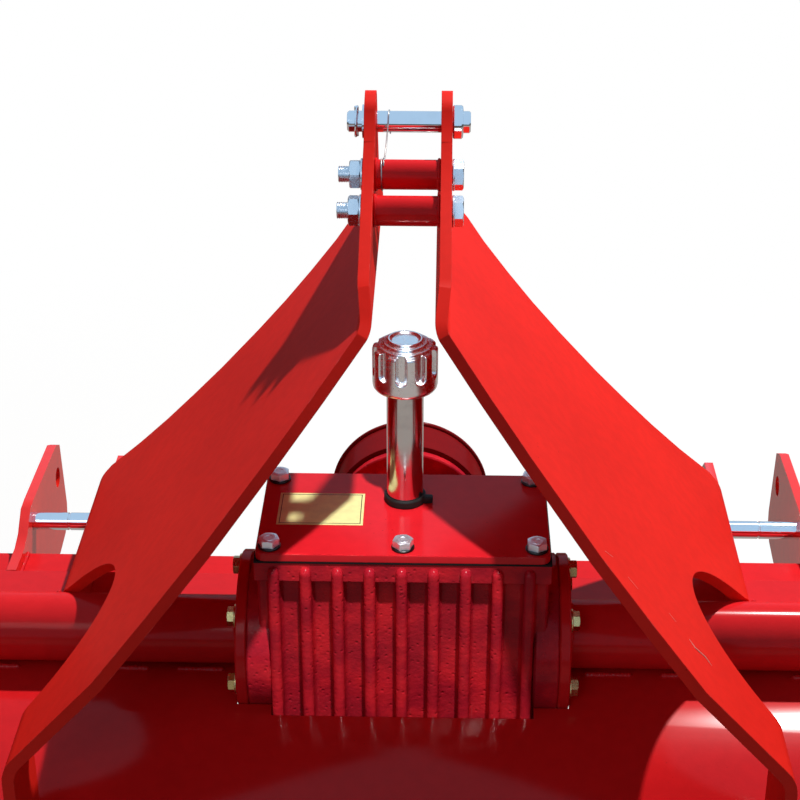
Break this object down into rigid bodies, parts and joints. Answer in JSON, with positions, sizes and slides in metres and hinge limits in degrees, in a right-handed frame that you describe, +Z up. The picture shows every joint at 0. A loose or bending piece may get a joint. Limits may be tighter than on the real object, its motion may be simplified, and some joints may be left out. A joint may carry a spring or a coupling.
{
  "type": "rotary tiller",
  "caption": "Tractor-mounted rotary tiller with a bent-plate three-point mast, finned gearbox on a cross tube, side drive, tined rotor under a hood and a hinged rear board.",
  "frame": {"origin": "middle of the footprint on the floor, under the machine's bounding box", "axes": "+Z up, +Y towards the tractor, +X to the right of someone who stands behind the machine"},
  "size_m": [1.3932, 0.7912, 0.9957],
  "materials": {
    "red_paint": "glossy red paint, worn at the edges",
    "red_casting": "red paint over a rough casting",
    "zinc": "zinc plated, satin",
    "chrome": "bright plated",
    "black_rubber": "matt black",
    "bare_steel": "machined steel, greased",
    "black_paint": "black paint, soil worn"
  },
  "bodies": {
    "frame": {"axle_tube_left": "red_paint", "axle_tube_right": "red_paint", "breather_cap": "chrome", "filler_collar": "black_rubber", "filler_pipe": "chrome", "gearbox_cover": "red_paint", "gearbox_housing": "red_casting", "hinge_rod": "zinc", "hitch_bar": "red_paint", "hitch_ear_left_inner": "red_paint", "hitch_ear_left_outer": "red_paint", "hitch_ear_right_inner": "red_paint", "hitch_ear_right_outer": "red_paint", "hood": "red_paint", "input_flange": "red_casting", "leg_clamp_screw": "zinc", "leg_socket": "red_paint", "lower_pin_left": "chrome", "lower_pin_right": "chrome", "mast_bolt_lower": "zinc", "mast_bolt_upper": "zinc", "mast_plate_left": "red_paint", "mast_plate_right": "red_paint", "mast_spacer_lower": "red_paint", "mast_spacer_upper": "red_paint", "pto_shield": "red_paint", "rotor_hub_right": "red_casting", "side_case_cover": "red_paint", "side_drive_case": "red_casting", "side_plate_left": "red_paint", "side_plate_right": "red_paint", "skid_left": "red_paint", "skid_right": "red_paint", "top_link_pin": "chrome"},
    "rotor_body": {"rotor": "black_paint"},
    "input_body": {"input_shaft": "bare_steel"},
    "board_body": {"rear_board": "red_paint"},
    "leg_body": {"parking_leg": "red_paint"}
  },
  "joints": [
    {"name": "rotor_spin", "type": "hinge", "parent": "frame", "child": "rotor_body", "pos_m": [0, -0.0125, 0.227], "axis": [-1, 0, 0], "continuous": true},
    {"name": "input_spin", "type": "hinge", "parent": "frame", "child": "input_body", "pos_m": [0, 0.2535, 0.532], "axis": [0, 1, 0], "continuous": true},
    {"name": "rear_board_swing", "type": "hinge", "parent": "frame", "child": "board_body", "pos_m": [0, -0.25196, 0.33832], "axis": [-1, 0, 0], "range_deg": [0, 40]},
    {"name": "parking_leg_slide", "type": "slide", "parent": "frame", "child": "leg_body", "axis": [0, 0, 1], "range_m": [0, 0.3]}
  ],
  "couplings": [
    {"joint": "input_spin", "follows": "rotor_spin", "ratio": 2.5714}
  ]
}
